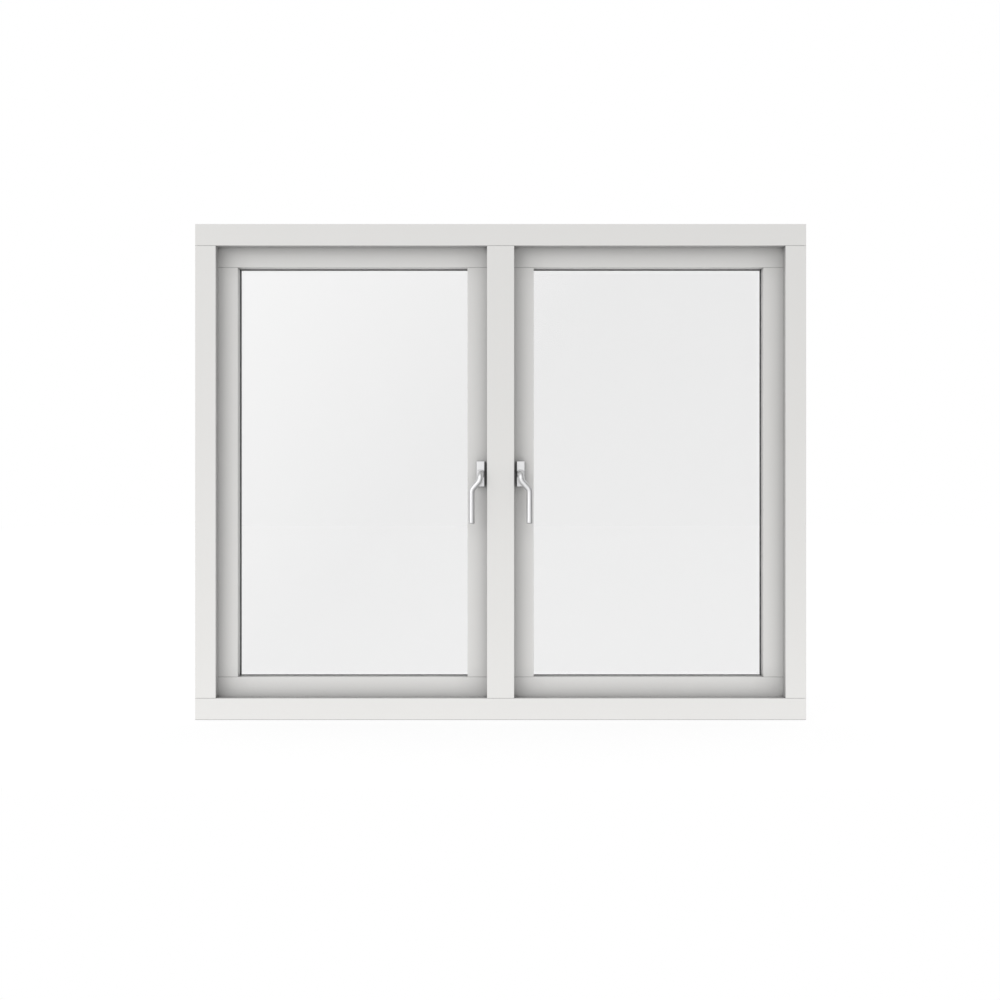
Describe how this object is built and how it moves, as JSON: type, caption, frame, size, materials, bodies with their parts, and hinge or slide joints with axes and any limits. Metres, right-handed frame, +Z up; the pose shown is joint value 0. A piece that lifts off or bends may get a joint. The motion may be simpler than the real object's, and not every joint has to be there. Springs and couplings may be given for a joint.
{
  "type": "casement window",
  "caption": "White timber window: two outward-opening side-hung casements on a fixed mullion, double glazed, each locked by a cranked lever handle that draws bolts from the mullion.",
  "frame": {"origin": "centre of the sill's flat underside, half-way through the frame's depth", "axes": "+X across the window to the right as seen from the room, +Y outdoors, +Z up"},
  "size_m": [1.3, 0.1405, 1.055],
  "materials": {
    "painted_timber": "white satin paint on softwood",
    "glass": "clear float glass",
    "black_spacer": "black warm-edge spacer bar",
    "black_rubber": "matt black rubber",
    "grey_seal": "light grey weather seal",
    "block_plastic": "plastic setting block",
    "hinge_steel": "brushed stainless steel",
    "zinc_steel": "bright zinc-plated steel",
    "gear_steel": "plain gear steel",
    "cast_zinc": "dull die-cast metal",
    "satin_aluminium": "satin anodised"
  },
  "bodies": {
    "frame": {"frame_head": "painted_timber", "frame_sill": "painted_timber", "left_jamb": "painted_timber", "right_jamb": "painted_timber", "mullion": "painted_timber", "frame_corner_screws": "zinc_steel", "weather_gaskets": "grey_seal", "bolt_keeps": "zinc_steel", "frame_hinge_leaves": "hinge_steel", "frame_hardware_screws": "zinc_steel", "hinge_pins": "hinge_steel"},
    "left_sash": {"left_top_rail": "painted_timber", "left_bottom_rail": "painted_timber", "left_hinge_stile": "painted_timber", "left_lock_stile": "painted_timber", "left_inner_pane": "glass", "left_outer_pane": "glass", "left_spacer": "black_spacer", "left_edge_seal": "black_rubber", "left_setting_blocks": "block_plastic", "left_inner_glazing_gasket": "black_rubber", "left_outer_glazing_gasket": "black_rubber", "left_glazing_beads": "painted_timber", "left_hinge_leaves": "hinge_steel", "left_hardware_screws": "zinc_steel", "left_faceplate": "zinc_steel", "left_gearbox_case": "cast_zinc", "left_handle_plate": "cast_zinc", "left_handle_cover": "satin_aluminium", "left_handle_screws": "zinc_steel"},
    "left_handle": {"left_handle_lever": "satin_aluminium", "left_spindle": "zinc_steel", "left_pinion": "gear_steel"},
    "left_rod": {"left_drive_rod": "zinc_steel"},
    "left_bolts": {"left_lock_bolts": "zinc_steel"},
    "right_sash": {"right_top_rail": "painted_timber", "right_bottom_rail": "painted_timber", "right_hinge_stile": "painted_timber", "right_lock_stile": "painted_timber", "right_inner_pane": "glass", "right_outer_pane": "glass", "right_spacer": "black_spacer", "right_edge_seal": "black_rubber", "right_setting_blocks": "block_plastic", "right_inner_glazing_gasket": "black_rubber", "right_outer_glazing_gasket": "black_rubber", "right_glazing_beads": "painted_timber", "right_hinge_leaves": "hinge_steel", "right_hardware_screws": "zinc_steel", "right_faceplate": "zinc_steel", "right_gearbox_case": "cast_zinc", "right_handle_plate": "cast_zinc", "right_handle_cover": "satin_aluminium", "right_handle_screws": "zinc_steel"},
    "right_handle": {"right_handle_lever": "satin_aluminium", "right_spindle": "zinc_steel", "right_pinion": "gear_steel"},
    "right_rod": {"right_drive_rod": "zinc_steel"},
    "right_bolts": {"right_lock_bolts": "zinc_steel"}
  },
  "joints": [
    {"name": "left_sash_swing", "type": "hinge", "parent": "frame", "child": "left_sash", "pos_m": [-0.616, 0.0605, 0.5275], "axis": [0, 0, 1], "range_deg": [0, 90]},
    {"name": "left_handle_turn", "type": "hinge", "parent": "left_sash", "child": "left_handle", "pos_m": [-0.043, -0.004, 0.5235], "axis": [0, 1, 0], "range_deg": [0, 90]},
    {"name": "left_rod_slide", "type": "slide", "parent": "left_sash", "child": "left_rod", "axis": [0, 0, -1], "range_m": [0, 0.0173]},
    {"name": "left_bolt_slide", "type": "slide", "parent": "left_sash", "child": "left_bolts", "axis": [-1, 0, 0], "range_m": [0, 0.01301]},
    {"name": "right_sash_swing", "type": "hinge", "parent": "frame", "child": "right_sash", "pos_m": [0.616, 0.0605, 0.5275], "axis": [0, 0, -1], "range_deg": [0, 90]},
    {"name": "right_handle_turn", "type": "hinge", "parent": "right_sash", "child": "right_handle", "pos_m": [0.043, -0.004, 0.5235], "axis": [0, -1, 0], "range_deg": [0, 90]},
    {"name": "right_rod_slide", "type": "slide", "parent": "right_sash", "child": "right_rod", "axis": [0, 0, -1], "range_m": [0, 0.0173]},
    {"name": "right_bolt_slide", "type": "slide", "parent": "right_sash", "child": "right_bolts", "axis": [1, 0, 0], "range_m": [0, 0.01301]}
  ],
  "couplings": [
    {"joint": "left_rod_slide", "follows": "left_handle_turn", "m_per_rad": 0.011},
    {"joint": "left_bolt_slide", "follows": "left_handle_turn", "m_per_rad": 0.0082761},
    {"joint": "right_rod_slide", "follows": "right_handle_turn", "m_per_rad": 0.011},
    {"joint": "right_bolt_slide", "follows": "right_handle_turn", "m_per_rad": 0.0082761}
  ]
}
